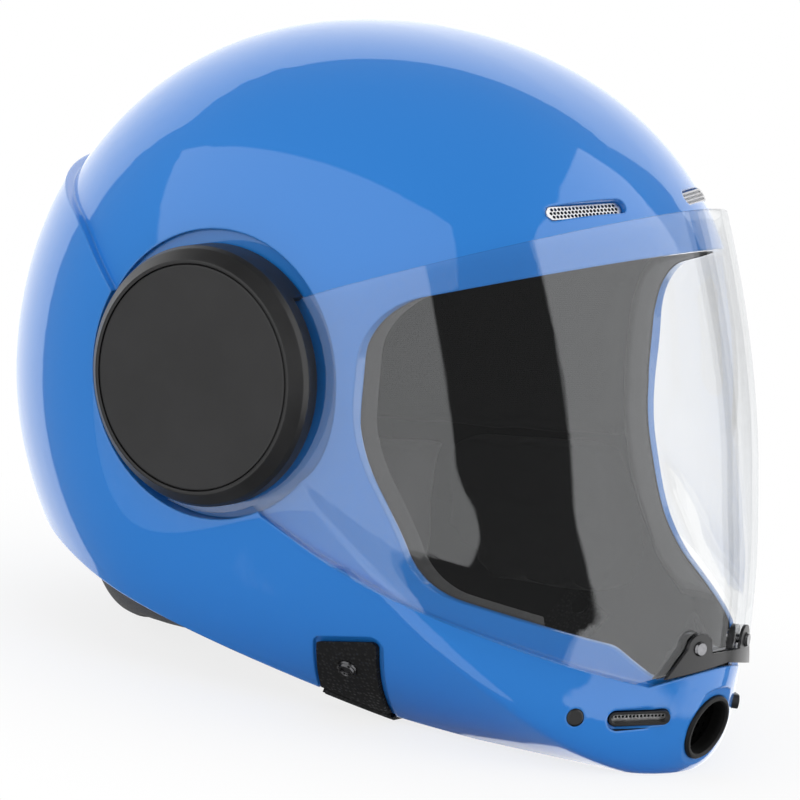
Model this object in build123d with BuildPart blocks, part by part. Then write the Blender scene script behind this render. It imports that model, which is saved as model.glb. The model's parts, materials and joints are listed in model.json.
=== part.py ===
from build123d import *
import math
import os

os.makedirs("parts", exist_ok=True)

# Full-face skydiving helmet, millimetres.
# It is drawn as worn: the visor's pivot axis is the X axis, +X is the wearer's left,
# -Y is forward and +Z is up. At the end it is tipped onto the plane that it rests on.

# Side outline of the shell, measured from the pivot axis
crown_height = 112.5
crown_setback = 4.5
brow_reach = 127.0
brow_height = 6.0
chin_reach = 138.6
chin_drop = 104.0
under_chin_reach = 116.5
under_chin_drop = 135.5
nape_reach = 66.0
nape_drop = 106.0
rear_reach = 123.5
side_reach = 101.0

# Side outline of the visor where it differs from the shell's
visor_crown_height = 183.0
visor_reach = 139.5
visor_belly_drop = 40.0
visor_foot_reach = 139.3
visor_foot_drop = 95.0
visor_side_reach = 110.4
visor_wall = 2.2

# Direction of travel along the outline at each corner, in degrees
crown_turn = 180.0
brow_turn = -91.0
chin_turn = -75.0
under_chin_turn = 5.0
nape_turn = 28.0
rear_turn = 95.0
visor_belly_turn = -90.0
visor_foot_turn = -82.7

# Curve handles as shares of the straight distance to the next corner
full_handle_share = 0.40
long_handle_share = 0.50
chin_handle_share = 0.20
corner_handle_share = 0.35
low_handle_share = 0.27
visor_brow_handle_share = 0.385
visor_foot_handle_share = 0.45

# How square a cross section is at each corner: 2 is an ellipse, more is boxier
dome_fullness = 2.2
brow_fullness = 2.17
chin_fullness = 1.64
under_chin_fullness = 2.0
nape_fullness = 2.7
visor_crown_fullness = 2.35
visor_belly_fullness = 1.84
visor_foot_fullness = 1.73

# Shell
shell_wall = 4.0
lip_height = 3.0
rear_rise = 3.5
crown_rise = 2.0
side_rise = 2.5
step_bend = 60.0
section_steps = 7
flat_share = 0.945
overrun = 150.0
running_gap = 0.3
contact_gap = 0.1
soft_gap = 0.4

# Pivot: stations along X from the inside out, then radii
boss_reach = 88.0
recess_floor = 92.0
lens_flat = 98.7
bezel_waist = 104.3
bezel_face = 109.0
recess_radius = 48.0
lobe_radius = 45.7
bezel_radius = 43.3
face_radius = 38.8
cover_radius = 37.4
skirt_wall = 2.0
skirt_clearance = 1.0
bezel_web = 2.0
cover_thickness = 1.5
cover_ledge = 2.0
pivot_flange_radius = 30.0
pivot_neck_radius = 8.2
bolt_radius = 4.0
bolt_head_radius = 9.5
bolt_head_height = 3.0
socket_radius = 2.9
washer_radius = 13.0
washer_height = 1.0
nut_radius = 9.0
nut_height = 3.5
bezel_screw_circle = 24.0
bezel_screw_radius = 1.5
bezel_screw_head_radius = 2.8
bezel_screw_head_height = 1.6
bezel_screws = 3

bolt_head_bevel = 1.2
socket_sides = 6
bezel_round = 0.9
cover_round = 0.4

# Directions of the bezel skirt's two ends, in degrees from the rear, upward positive
skirt_top_end = 141.3
skirt_low_end = -68.5

# Visor panel, seen from the side
panel_brow = (-170.0, 67.0)
panel_root = (-33.6, 26.4)
panel_heel = (-14.0, -40.5)
panel_bend = (-37.0, -54.5)
panel_cheek = (-104.0, -89.0)
panel_chin = (-126.5, -100.4)
panel_foot = (-170.0, -84.0)

# Where the step between dome and lower body runs, seen from the side
step_rear = (140.0, 82.5)
step_shoulder = (62.0, 46.0)
step_back = (41.0, 26.0)
step_front = (-20.0, -45.5)
step_lip = (-38.0, -57.0)
step_cheek = (-105.0, -91.3)
step_chin = (-127.0, -102.3)
step_foot = (-170.0, -85.8)

# Eye port, seen from the side
port_brow_drop = (-170.0, 50.0)
port_top_corner = (-57.0, 24.5)
port_back = (-52.0, -22.0)
port_heel = (-70.0, -68.0)
port_sill = (-119.0, -88.0)
port_notch = (-127.5, -101.0)
port_foot = (-170.0, -86.3)
port_radii = (24.0, 60.0, 30.0, 6.0, 5.0)
port_tuck = 3.4
trim_thickness = 3.0
trim_outer_outline = [(-170.0, 53.0), (-54.6, 27.0), (-49.0, -21.5), (-67.7, -70.6), (-116.5, -90.6),
                      (-121.0, -92.4), (-121.0, -60.0), (-170.0, -60.0)]
trim_outer_bends = [0.0, 27.0, 63.0, 33.0, 0.0, 0.0, 0.0, 0.0]
trim_inner_outline = [(-170.0, 42.5), (-63.0, 18.6), (-59.3, -22.5), (-75.5, -62.8), (-124.0, -82.6),
                      (-170.0, -101.4)]
trim_inner_bends = [0.0, 17.0, 53.0, 23.0, 0.0, 0.0]

# Lower rim, seen from the side
rim_front = (-170.0, -142.0)
rim_chin = (-127.0, -134.5)
rim_cheek = (-78.0, -126.0)
rim_jaw = (-42.0, -116.0)
rim_ear = (0.0, -97.5)
rim_nape = (72.0, -65.5)
rim_rear = (170.0, -24.0)
rim_radii = (160.0, 160.0, 120.0, 260.0, 300.0)

# Brow vents, chin vents, mouth port and chin plugs, by their place in the front view
brow_vent_across = 33.8
brow_vent_height = 55.6
brow_vent_length = 32.5
brow_vent_width = 5.4
brow_vent_depth = 2.8
brow_vent_turn = -6.0
vent_border = 0.9
chin_vent_across = 29.3
chin_vent_drop = 112.7
chin_vent_length = 21.6
chin_vent_width = 5.4
chin_vent_recess = 0.9
chin_vent_turn = 11.0
vent_frame_wall = 1.2
vent_frame_depth = 5.2
vent_frame_stand = 0.5
mesh_thickness = 0.6
mesh_depth = 2.4
mouth_drop = 119.0
mouth_radius = 11.6
mouth_ring_wall = 2.0
mouth_ring_depth = 7.5
mouth_facet_depth = 2.2
mouth_facet_radius = 15.0
mouth_ring_stand = 1.3
mouth_mesh_depth = 4.8
ring_round = 0.5
vent_hole_radius = 0.6
vent_hole_pitch = 1.8
vent_hole_columns = 15
vent_hole_rows = 2
chin_vent_holes = 9
mouth_hole_radius = 1.0
mouth_hole_pitch = 3.6
chin_plug_across = 48.0
chin_plug_drop = 111.2
chin_plug_radius = 2.9
chin_plug_tail = 1.0

# Visor latch plates, seen from the front
latch_foot_across = 26.0
latch_foot_drop = 99.6
latch_middle_drop = 96.0
latch_ear_across = 14.0
latch_ear_drop = 90.0
latch_ear_radius = 4.9
latch_web_drop = 92.3
latch_web_across = 8.5
latch_hole_radius = 1.6
latch_outer_thickness = 1.1
latch_inner_thickness = 2.0
stud_head_radius = 2.5
stud_head_height = 0.9
keeper_across = 9.0
stud_head_taper = 25.0
keeper_outline = [(-133.6, -98.6), (-133.6, -93.5), (-126.0, -91.0), (-121.0, -93.0), (-124.0, -105.5),
                  (-140.0, -105.5), (-140.0, -98.6)]
keeper_round = 1.2

# Strap tabs, seen from the side; the tab's middle line stands square to the rim
tab_width = 21.0
tab_top_y = -42.5
tab_top_drop = 87.0
tab_length = 25.7
tab_front_start = -4.8
tab_rear_start = 6.5
tab_lean = 25.0
tab_border = 1.8
tab_recess_depth = 1.2
tab_stand = 0.9
tab_thickness = 1.7
tab_fold_gap = 2.0
tab_roll_radius = 0.9
tab_roll_stand = 0.3
tab_fold_depth = 1.2
tab_return_length = 22.8
tab_corner = 1.6
snap_from_top = 11.0
snap_radius = 3.6
snap_height = 0.8
snap_ring_radius = 3.0
snap_ring_inner_radius = 1.7
snap_ring_height = 0.8
snap_taper = 20.0
snap_post_radius = 1.5
snap_stud_radius = 2.6
snap_stud_depth = 1.8
rivet_from_end = 4.0
rivet_radius = 3.3
rivet_height = 0.9
rivet_post_radius = 1.4
rivet_post_length = 2.0

# Lining: depths below the cavity's wall, and outlines seen from the side
liner_depth = 16.0
liner_low_drop = 34.0
pad_depth = 24.0
cheek_depth = 20.0
cheek_outline = [(-45.0, -35.0), (19.0, -35.0), (19.0, -66.0), (-8.0, -84.0), (-58.0, -86.0), (-62.0, -76.0)]
cheek_bends = [6.0, 8.0, 10.0, 12.0, 6.0, 6.0]
crown_outline = [(-72.0, 60.0), (-40.0, 130.0), (60.0, 130.0), (88.0, 62.0), (30.0, 62.0)]
crown_pad_across = 48.0
rear_outline = [(70.0, 44.0), (130.0, 44.0), (130.0, -32.0), (70.0, -32.0)]
rear_pad_across = 52.0
chin_pad_gap = 3.0
chin_pad_depth = 13.0
chin_pad_outline = [(-86.0, -84.0), (-116.0, -94.5), (-126.0, -109.5), (-145.0, -109.5), (-145.0, -127.0),
                    (-86.0, -121.5)]

# Neck roll: drop below the pivot axis, half width and rear reach of each section
roll_outer_sections = [(38.0, 84.0, 115.6), (46.0, 80.5, 113.4), (56.0, 78.0, 110.5), (70.0, 76.0, 108.0),
                       (87.0, 70.5, 101.0), (94.2, 63.0, 94.0)]
roll_inner_sections = [(38.0, 56.0, 86.0), (70.0, 50.0, 80.0), (87.0, 54.0, 85.0), (94.2, 57.0, 88.0)]
roll_front = 22.0

# Resting points: under the chin and under the neck roll
rest_chin = (-118.0, -132.6)
rest_roll = (92.0, -92.9)


def corner_list(crown, low, rear):
    """Outline corners of the shell, grown outward: place, travel, handle shares, fullness."""
    return [
        (crown_setback, crown_height + crown, crown_turn, full_handle_share, full_handle_share, dome_fullness),
        (-brow_reach - crown, brow_height, brow_turn, full_handle_share, long_handle_share, brow_fullness),
        (-chin_reach - low, -chin_drop, chin_turn, chin_handle_share, corner_handle_share, chin_fullness),
        (-under_chin_reach, -under_chin_drop - low, under_chin_turn, corner_handle_share, low_handle_share,
         under_chin_fullness),
        (nape_reach, -nape_drop - low, nape_turn, low_handle_share, low_handle_share, nape_fullness),
        (rear_reach + rear, 0.0, rear_turn, full_handle_share, full_handle_share, dome_fullness),
    ]


def visor_corner_list(grow):
    """Outline corners of the visor's surface; only the front of this form is used."""
    return [
        (crown_setback, visor_crown_height + grow, crown_turn, full_handle_share, visor_brow_handle_share,
         visor_crown_fullness),
        (-visor_reach - grow, -visor_belly_drop, visor_belly_turn, low_handle_share, long_handle_share,
         visor_belly_fullness),
        (-visor_foot_reach - grow, -visor_foot_drop, visor_foot_turn, visor_foot_handle_share,
         chin_handle_share, visor_foot_fullness),
        (-under_chin_reach, -under_chin_drop - grow, under_chin_turn, corner_handle_share, low_handle_share,
         under_chin_fullness),
        (nape_reach, -nape_drop, nape_turn, low_handle_share, low_handle_share, dome_fullness),
        (rear_reach, 0.0, rear_turn, full_handle_share, full_handle_share, dome_fullness),
    ]


def outline_points(corners, across_share):
    """Control points of each outline curve on the section at this share of the half width."""
    scaled = []
    for y, z, turn, handle_in, handle_out, fullness in corners:
        shrink = (1 - abs(across_share) ** fullness) ** (1 / fullness)
        travel = Vector(math.cos(math.radians(turn)), math.sin(math.radians(turn)))
        scaled.append((Vector(y, z) * shrink, travel, handle_in, handle_out))
    curves = []
    for place, here in enumerate(scaled):
        ahead = scaled[(place + 1) % len(scaled)]
        span = (ahead[0] - here[0]).length
        leave = here[0] + here[1] * span * here[3]
        arrive = ahead[0] - ahead[1] * span * ahead[2]
        curves.append((here[0], leave, arrive, ahead[0]))
    return curves


def helmet_form(corners, half_width, flat_at):
    """Closed solid through side outlines that shrink from the middle to flat sides."""
    last_angle = math.asin(flat_at / half_width)
    with BuildPart() as form:
        for step in range(-section_steps, section_steps + 1):
            across = half_width * math.sin(last_angle * step / section_steps)
            with BuildSketch(Plane.YZ.offset(across)):
                with BuildLine():
                    for curve in outline_points(corners, across / half_width):
                        Bezier(*curve)
                make_face()
        loft()
    return form.part


def side_block(points, radii, grow=0.0):
    """Solid that covers a closed outline of the side view, right across the helmet."""
    with BuildPart() as block:
        with BuildSketch(Plane.YZ):
            with BuildLine():
                FilletPolyline(*points, radius=radii, close=True)
            make_face()
            if grow:
                offset(amount=grow, kind=Kind.INTERSECTION)
        extrude(amount=overrun, both=True)
    return block.part


def lower_skin(grow):
    """The lower body's surface, grown outward."""
    half_width = side_reach + side_rise + grow
    corners = corner_list(crown_rise + grow, grow, rear_rise + grow)
    return helmet_form(corners, half_width, flat_share * half_width)


def cavity_skin(grow):
    """The inner face of the shell, grown outward."""
    inset = grow - shell_wall
    corners = corner_list(inset, inset, rear_rise - shell_wall / 2 + inset)
    return helmet_form(corners, side_reach + inset, boss_reach + grow)


def visor_skin(grow):
    """The outer face of the visor, grown outward."""
    return helmet_form(visor_corner_list(grow), visor_side_reach + grow, lens_flat + grow)


def turned(stations):
    """Solid of revolution about the pivot axis from its outline of (X, radius) corners."""
    with BuildPart() as solid:
        with BuildSketch(Plane.XY):
            with BuildLine():
                Polyline(*stations, close=True)
            make_face()
        revolve(axis=Axis.X)
    return solid.part


def disc(radius, start, end, y=0.0, z=0.0):
    """Round bar along X between two stations."""
    with BuildPart() as bar:
        with BuildSketch(Plane.YZ.offset(start)):
            with Locations((y, z)):
                Circle(radius)
        extrude(amount=end - start)
    return bar.part


def fan(turns):
    """Outline of a wide fan about the pivot axis through these directions in the side view."""
    reach = 2 * recess_radius
    tips = [(reach * math.cos(math.radians(turn)), reach * math.sin(math.radians(turn))) for turn in turns]
    return [(0, 0), *tips]


def slot_block(plane, length, width, top, depth):
    """Slotted block on a plane, from above it to below it."""
    with BuildPart() as block:
        with BuildSketch(plane.offset(top)):
            SlotOverall(length, width)
        extrude(amount=-top - depth)
    return block.part


def round_block(plane, radius, top, depth):
    """Round block on a plane, from above it to below it."""
    with BuildPart() as block:
        with BuildSketch(plane.offset(top)):
            Circle(radius)
        extrude(amount=-top - depth)
    return block.part


def front_plane(form, across, height):
    """Plane on the front of a form at this place of the front view, facing outward."""
    ray = Axis((across, 0, height), (0, -1, 0))
    spot, outward = max(form.find_intersection_points(ray), key=lambda hit: -hit[0].Y)
    return Plane(origin=spot, x_dir=Vector(0, 0, 1).cross(outward), z_dir=outward)


def side_plane(form, side, y, z):
    """Plane on one side of a form at this place of the side view, facing outward."""
    ray = Axis((0, y, z), (side, 0, 0))
    spot, outward = max(form.find_intersection_points(ray), key=lambda hit: side * hit[0].X)
    return Plane(origin=spot, x_dir=Vector(0, 1, 0) * -side, z_dir=outward)


def mirrored_plane(plane):
    """The same plane on the other side of the helmet."""
    origin = plane.origin
    outward = plane.z_dir
    return Plane(origin=(-origin.X, origin.Y, origin.Z), z_dir=(-outward.X, outward.Y, outward.Z))


def mirrored(form):
    """The same form on the other side of the helmet."""
    return mirror(form, about=Plane.YZ, mode=Mode.PRIVATE)


def write(piece, label):
    """Tip a finished piece onto the resting plane and write it under its name."""
    piece.part = rest_place * piece.part
    piece.part.label = label
    export_step(piece.part, f"parts/{label}.step")


def write_pair(left_piece, label):
    """Write a left piece and its mirror image on the right."""
    with BuildPart() as right_piece:
        add(mirrored(left_piece.part))
    write(left_piece, label + "_left")
    write(right_piece, label + "_right")


# Placement: the resting plane becomes the ground
rest_tilt = math.degrees(math.atan2(rest_roll[1] - rest_chin[1], rest_roll[0] - rest_chin[0]))
lie_down = Location((0, 0, 0), (-rest_tilt, 0, 0))
ground_drop = (lie_down * Pos(0, *rest_chin)).position.Z
rear_end = (lie_down * Pos(0, rear_reach + rear_rise, 0)).position.Y
front_reach = visor_foot_reach + latch_outer_thickness + contact_gap
front_end = (lie_down * Pos(0, -front_reach, -visor_foot_drop)).position.Y
rest_place = Pos(0, -(front_end + rear_end) / 2, -ground_drop) * lie_down

# Surfaces that the pieces are cut from
dome_form = helmet_form(corner_list(0.0, -lip_height, 0.0), side_reach, flat_share * side_reach)
lower_form = lower_skin(0.0)
cavity_form = cavity_skin(0.0)

below_step = side_block(
    [step_rear, step_shoulder, step_back, step_front, step_lip, step_cheek, step_chin, step_foot,
     (step_foot[0], -overrun), (step_rear[0], -overrun)],
    [0.0, step_bend, 0.0, 0.0, 0.0, 0.0, 0.0, 0.0, 0.0, 0.0])
port_outline = [port_brow_drop, port_top_corner, port_back, port_heel, port_sill, port_notch, port_foot]
port_bends = [0.0, *port_radii, 0.0]
port_block = side_block(port_outline, port_bends)
below_rim = side_block(
    [rim_front, rim_chin, rim_cheek, rim_jaw, rim_ear, rim_nape, rim_rear,
     (rim_rear[0], -overrun), (rim_front[0], -overrun)],
    [0.0, *rim_radii, 0.0, 0.0, 0.0])

brow_vent_plane = front_plane(dome_form, brow_vent_across, brow_vent_height).rotated((0, 0, brow_vent_turn))
chin_vent_plane = front_plane(lower_form, chin_vent_across, -chin_vent_drop).rotated((0, 0, chin_vent_turn))
chin_plug_plane = front_plane(lower_form, chin_plug_across, -chin_plug_drop)
mouth_plane = front_plane(lower_form, 0.0, -mouth_drop)


tab_plane = Plane(origin=(0, tab_top_y, -tab_top_drop), x_dir=(0, -math.cos(math.radians(tab_lean)),
                  -math.sin(math.radians(tab_lean))), z_dir=(1, 0, 0))


def strap_block(start, end):
    """Block square to the rim, as wide as the strap, between two places along it."""
    with BuildPart() as block:
        with BuildSketch(tab_plane):
            with Locations((0, (start + end) / 2)):
                Rectangle(tab_width, end - start)
        extrude(amount=overrun)
    return block.part


def tab_block(border, end):
    """Block over the strap tab and a border round it, from its level top down to this place."""
    half = tab_width / 2
    with BuildPart() as block:
        with BuildSketch(tab_plane):
            with BuildLine():
                FilletPolyline((-half, tab_rear_start), (half, tab_front_start), (half, end), (-half, end),
                               radius=[tab_corner, tab_corner, 0.0, 0.0], close=True)
            make_face()
            if border:
                offset(amount=border)
        extrude(amount=overrun)
    return block.part


def tab_place(along, forward=0.0):
    """Place in the side view this far down the tab's middle line and forward of it."""
    lean = math.radians(tab_lean)
    return (tab_top_y + along * math.sin(lean) - forward * math.cos(lean),
            -tab_top_drop - along * math.cos(lean) - forward * math.sin(lean))


tab_outer_skin = lower_skin(tab_stand)
tab_inner_skin = lower_skin(tab_stand - tab_thickness)
tab_roll_skin = lower_skin(tab_roll_stand)
tab_roll_along = tab_length + running_gap + tab_roll_radius
tab_roll_front = side_plane(tab_roll_skin, 1, *tab_place(tab_roll_along, tab_width / 2)).origin
tab_roll_rear = side_plane(tab_roll_skin, 1, *tab_place(tab_roll_along, -tab_width / 2)).origin
return_outer_skin = cavity_skin(-soft_gap)
return_inner_skin = cavity_skin(-soft_gap - tab_thickness)
snap_plane = side_plane(lower_form, 1, *tab_place(snap_from_top))
rivet_plane = side_plane(cavity_form, 1, *tab_place(tab_length - tab_return_length + rivet_from_end))
with BuildPart() as tab_recess:
    add(tab_block(tab_border, overrun))
    add(lower_skin(-tab_recess_depth), mode=Mode.SUBTRACT)
ground_slope = (rest_roll[1] - rest_chin[1]) / (rest_roll[0] - rest_chin[0])
below_ground = side_block(
    [(-overrun, rest_chin[1] + (-overrun - rest_chin[0]) * ground_slope),
     (overrun, rest_chin[1] + (overrun - rest_chin[0]) * ground_slope),
     (overrun, -2 * overrun), (-overrun, -2 * overrun)],
    0.0)

# Outer shell: dome, raised lower body, eye port, rim, pivot recesses and vents
with BuildPart() as outer_shell:
    add(lower_form)
    add(below_step, mode=Mode.INTERSECT)
    add(dome_form)
    add(cavity_form, mode=Mode.SUBTRACT)
    add(port_block, mode=Mode.SUBTRACT)
    add(below_rim, mode=Mode.SUBTRACT)
    for recess in (disc(recess_radius, recess_floor, overrun), disc(bolt_radius + running_gap, 0.0, overrun)):
        add(recess, mode=Mode.SUBTRACT)
        add(mirrored(recess), mode=Mode.SUBTRACT)
    for cut in (
        slot_block(brow_vent_plane, brow_vent_length, brow_vent_width, shell_wall, brow_vent_depth),
        slot_block(brow_vent_plane, brow_vent_length - 2 * vent_border, brow_vent_width - 2 * vent_border,
                   shell_wall, 3 * shell_wall),
        slot_block(chin_vent_plane, chin_vent_length + 2 * vent_border, chin_vent_width + 2 * vent_border,
                   shell_wall, chin_vent_recess),
        slot_block(chin_vent_plane, chin_vent_length, chin_vent_width, shell_wall, 3 * shell_wall),
        round_block(chin_plug_plane, chin_plug_radius + running_gap / 2, shell_wall, 3 * shell_wall),
        tab_recess.part,
        round_block(snap_plane, snap_stud_radius, 0.0, tab_recess_depth + snap_stud_depth),
        round_block(rivet_plane, rivet_post_radius, rivet_post_length, shell_wall),
    ):
        add(cut, mode=Mode.SUBTRACT)
        add(mirrored(cut), mode=Mode.SUBTRACT)
    add(round_block(mouth_plane, mouth_facet_radius, shell_wall, mouth_facet_depth), mode=Mode.SUBTRACT)
    add(round_block(mouth_plane, mouth_radius, shell_wall, 4 * shell_wall), mode=Mode.SUBTRACT)
    add(below_ground, mode=Mode.SUBTRACT)
write(outer_shell, "outer_shell")

# Visor lens: a bent sheet with a round lobe at each pivot
skirt_fan = fan([skirt_low_end, 0.0, 45.0, 90.0, skirt_top_end])
front_fan = fan([skirt_top_end, 180.0, 225.0, 360.0 + skirt_low_end])
skirt_inner_radius = bezel_radius - skirt_wall
with BuildPart() as panel_block:
    with BuildSketch(Plane.YZ):
        Circle(lobe_radius)
        with BuildLine():
            Polyline(*skirt_fan, close=True)
        make_face(mode=Mode.SUBTRACT)
        Circle(skirt_inner_radius - running_gap)
        with BuildLine():
            Polyline(panel_brow, panel_root, panel_heel, panel_bend, panel_cheek, panel_chin, panel_foot,
                     close=True)
        make_face()
        Circle(pivot_neck_radius + running_gap, mode=Mode.SUBTRACT)
        with PolarLocations(bezel_screw_circle, bezel_screws):
            Circle(bezel_screw_radius, mode=Mode.SUBTRACT)
    extrude(amount=overrun, both=True)

with BuildPart() as latch_block:
    with BuildSketch(Plane.XZ):
        with BuildLine():
            Polyline(
                (-latch_foot_across, -latch_foot_drop), (0, -latch_middle_drop),
                (latch_foot_across, -latch_foot_drop),
                (latch_ear_across + latch_ear_radius, -latch_ear_drop),
                (latch_ear_across - latch_ear_radius, -latch_ear_drop),
                (latch_web_across, -latch_web_drop), (-latch_web_across, -latch_web_drop),
                (-latch_ear_across + latch_ear_radius, -latch_ear_drop),
                (-latch_ear_across - latch_ear_radius, -latch_ear_drop),
                close=True)
        make_face()
        with Locations((latch_ear_across, -latch_ear_drop), (-latch_ear_across, -latch_ear_drop)):
            Circle(latch_ear_radius)
    extrude(amount=overrun + visor_reach)

visor_outer = visor_skin(0.0)
latch_plane = front_plane(visor_outer, latch_ear_across, -latch_ear_drop)
stud_seat = latch_outer_thickness + 2 * contact_gap
stud_length = stud_seat + visor_wall + latch_inner_thickness + 2 * contact_gap
with BuildPart() as stud_bores:
    for plane in (latch_plane, mirrored_plane(latch_plane)):
        add(round_block(plane, latch_hole_radius, shell_wall, 3 * shell_wall))
        add(round_block(plane, stud_head_radius + contact_gap, shell_wall, contact_gap - stud_seat))
        add(round_block(plane, stud_head_radius + contact_gap, stud_seat - stud_length + contact_gap,
                        3 * shell_wall))
visor_inner = visor_skin(-visor_wall)
with BuildPart() as visor_lens:
    add(visor_outer)
    add(visor_inner, mode=Mode.SUBTRACT)
    add(panel_block.part, mode=Mode.INTERSECT)
    add(stud_bores.part, mode=Mode.SUBTRACT)
write(visor_lens, "visor_lens")

# Latch plates on both faces of the visor, with the studs through them
with BuildPart() as latch_outer_plate:
    add(visor_skin(contact_gap + latch_outer_thickness))
    add(visor_skin(contact_gap), mode=Mode.SUBTRACT)
    add(latch_block.part, mode=Mode.INTERSECT)
    add(stud_bores.part, mode=Mode.SUBTRACT)
write(latch_outer_plate, "latch_outer_plate")

with BuildPart() as latch_inner_plate:
    add(visor_skin(-visor_wall - contact_gap))
    add(visor_skin(-visor_wall - contact_gap - latch_inner_thickness), mode=Mode.SUBTRACT)
    add(latch_block.part, mode=Mode.INTERSECT)
    add(stud_bores.part, mode=Mode.SUBTRACT)
write(latch_inner_plate, "latch_inner_plate")

# Studs: a domed head outside, a shank through both plates and a flat head inside
with BuildPart() as latch_studs:
    for plane in (latch_plane, mirrored_plane(latch_plane)):
        with BuildSketch(plane.offset(stud_seat)):
            Circle(stud_head_radius)
        extrude(amount=stud_head_height, taper=stud_head_taper)
        with BuildSketch(plane.offset(stud_seat)):
            Circle(latch_hole_radius - contact_gap)
        extrude(amount=-stud_length)
        with BuildSketch(plane.offset(stud_seat - stud_length)):
            Circle(stud_head_radius)
        extrude(amount=-stud_head_height)
write(latch_studs, "latch_studs")

# Latch keeper: a hooked block inside the chin bar that the inner plate closes against
with BuildPart() as latch_keeper:
    with BuildSketch(Plane.YZ):
        with BuildLine():
            Polyline(*keeper_outline, close=True)
        make_face()
    extrude(amount=keeper_across, both=True)
    add(cavity_skin(-running_gap), mode=Mode.INTERSECT)
    fillet(latch_keeper.edges().filter_by(Axis.X).sort_by(Axis.Z)[-2:], keeper_round)
write(latch_keeper, "latch_keeper")

# Pivot: base and bolt stay on the shell, bezel and cover turn with the visor
bolt_hole_radius = bolt_radius + contact_gap
pivot_flange_top = lens_flat - visor_wall - soft_gap
pivot_neck_top = lens_flat + bezel_web + soft_gap
washer_top = pivot_neck_top + washer_height
with BuildPart() as pivot_base:
    add(turned([
        (recess_floor, bolt_hole_radius), (recess_floor, pivot_flange_radius),
        (pivot_flange_top, pivot_flange_radius), (pivot_flange_top, pivot_neck_radius),
        (pivot_neck_top, pivot_neck_radius), (pivot_neck_top, bolt_hole_radius)]))
write_pair(pivot_base, "pivot_base")

with BuildPart() as pivot_bolt:
    add(turned([
        (boss_reach - nut_height, 0), (boss_reach - nut_height, bolt_radius), (washer_top, bolt_radius),
        (washer_top, bolt_head_radius), (washer_top + bolt_head_height, bolt_head_radius - bolt_head_bevel),
        (washer_top + bolt_head_height, 0)]))
    with BuildSketch(Plane.YZ.offset(washer_top + bolt_head_height)):
        RegularPolygon(socket_radius, socket_sides)
    extrude(amount=bolt_head_bevel - bolt_head_height, mode=Mode.SUBTRACT)
write_pair(pivot_bolt, "pivot_bolt")

with BuildPart() as pivot_washer:
    add(turned([
        (pivot_neck_top, bolt_hole_radius), (pivot_neck_top, washer_radius), (washer_top, washer_radius),
        (washer_top, bolt_hole_radius)]))
write_pair(pivot_washer, "pivot_washer")

with BuildPart() as pivot_nut:
    with BuildSketch(Plane.YZ.offset(boss_reach - nut_height)):
        RegularPolygon(nut_radius, socket_sides)
        Circle(bolt_hole_radius, mode=Mode.SUBTRACT)
    extrude(amount=nut_height)
write_pair(pivot_nut, "pivot_nut")

bezel_inner_radius = cover_radius - cover_ledge
cover_floor = bezel_face - cover_thickness
with BuildPart() as bezel_skirt:
    with BuildSketch(Plane.YZ.offset(recess_floor + skirt_clearance)):
        Circle(bezel_radius)
        Circle(skirt_inner_radius, mode=Mode.SUBTRACT)
        with BuildLine():
            Polyline(*front_fan, close=True)
        make_face(mode=Mode.SUBTRACT)
    extrude(amount=lens_flat - recess_floor - skirt_clearance)
with BuildPart() as visor_bezel:
    add(turned([
        (lens_flat, pivot_neck_radius + running_gap), (lens_flat, bezel_radius),
        (bezel_waist - bezel_round, bezel_radius), (bezel_waist + bezel_round, bezel_radius - bezel_round),
        (bezel_face, face_radius), (bezel_face, cover_radius + running_gap),
        (cover_floor, cover_radius + running_gap), (cover_floor, bezel_inner_radius),
        (lens_flat + bezel_web, bezel_inner_radius), (lens_flat + bezel_web, pivot_neck_radius + running_gap)]))
    add(bezel_skirt.part)
    with BuildSketch(Plane.YZ.offset(lens_flat)):
        with PolarLocations(bezel_screw_circle, bezel_screws):
            Circle(bezel_screw_radius)
    extrude(amount=bezel_web, mode=Mode.SUBTRACT)
write_pair(visor_bezel, "visor_bezel")

with BuildPart() as bezel_screw_set:
    with BuildSketch(Plane.YZ.offset(pivot_flange_top + running_gap)):
        with PolarLocations(bezel_screw_circle, bezel_screws):
            Circle(bezel_screw_radius - contact_gap)
    extrude(amount=lens_flat + bezel_web - pivot_flange_top - running_gap)
    with BuildSketch(Plane.YZ.offset(lens_flat + bezel_web)):
        with PolarLocations(bezel_screw_circle, bezel_screws):
            Circle(bezel_screw_head_radius)
    extrude(amount=bezel_screw_head_height)
write_pair(bezel_screw_set, "bezel_screws")

with BuildPart() as cover_disc:
    with BuildSketch(Plane.YZ.offset(cover_floor)):
        Circle(cover_radius)
    extrude(amount=cover_thickness)
    chamfer(cover_disc.edges().sort_by(Axis.X)[-1], cover_round)
write_pair(cover_disc, "cover_disc")

# Vents: perforated mesh in the brow slots, framed mesh in the chin slots
with BuildPart() as brow_vent_mesh:
    with BuildSketch(brow_vent_plane.offset(-brow_vent_depth)):
        SlotOverall(brow_vent_length - 2 * running_gap, brow_vent_width - 2 * running_gap)
        with HexLocations(vent_hole_pitch / 2, vent_hole_columns, vent_hole_rows, major_radius=True):
            RegularPolygon(vent_hole_radius, socket_sides, mode=Mode.SUBTRACT)
    extrude(amount=mesh_thickness)
write_pair(brow_vent_mesh, "brow_vent_mesh")

with BuildPart() as chin_vent_frame:
    add(slot_block(chin_vent_plane, chin_vent_length - 2 * running_gap, chin_vent_width - 2 * running_gap,
                   vent_frame_stand - chin_vent_recess + running_gap, vent_frame_depth))
    add(slot_block(chin_vent_plane, chin_vent_length - 2 * vent_frame_wall,
                   chin_vent_width - 2 * vent_frame_wall, shell_wall, 2 * vent_frame_depth), mode=Mode.SUBTRACT)
write_pair(chin_vent_frame, "chin_vent_frame")

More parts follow.
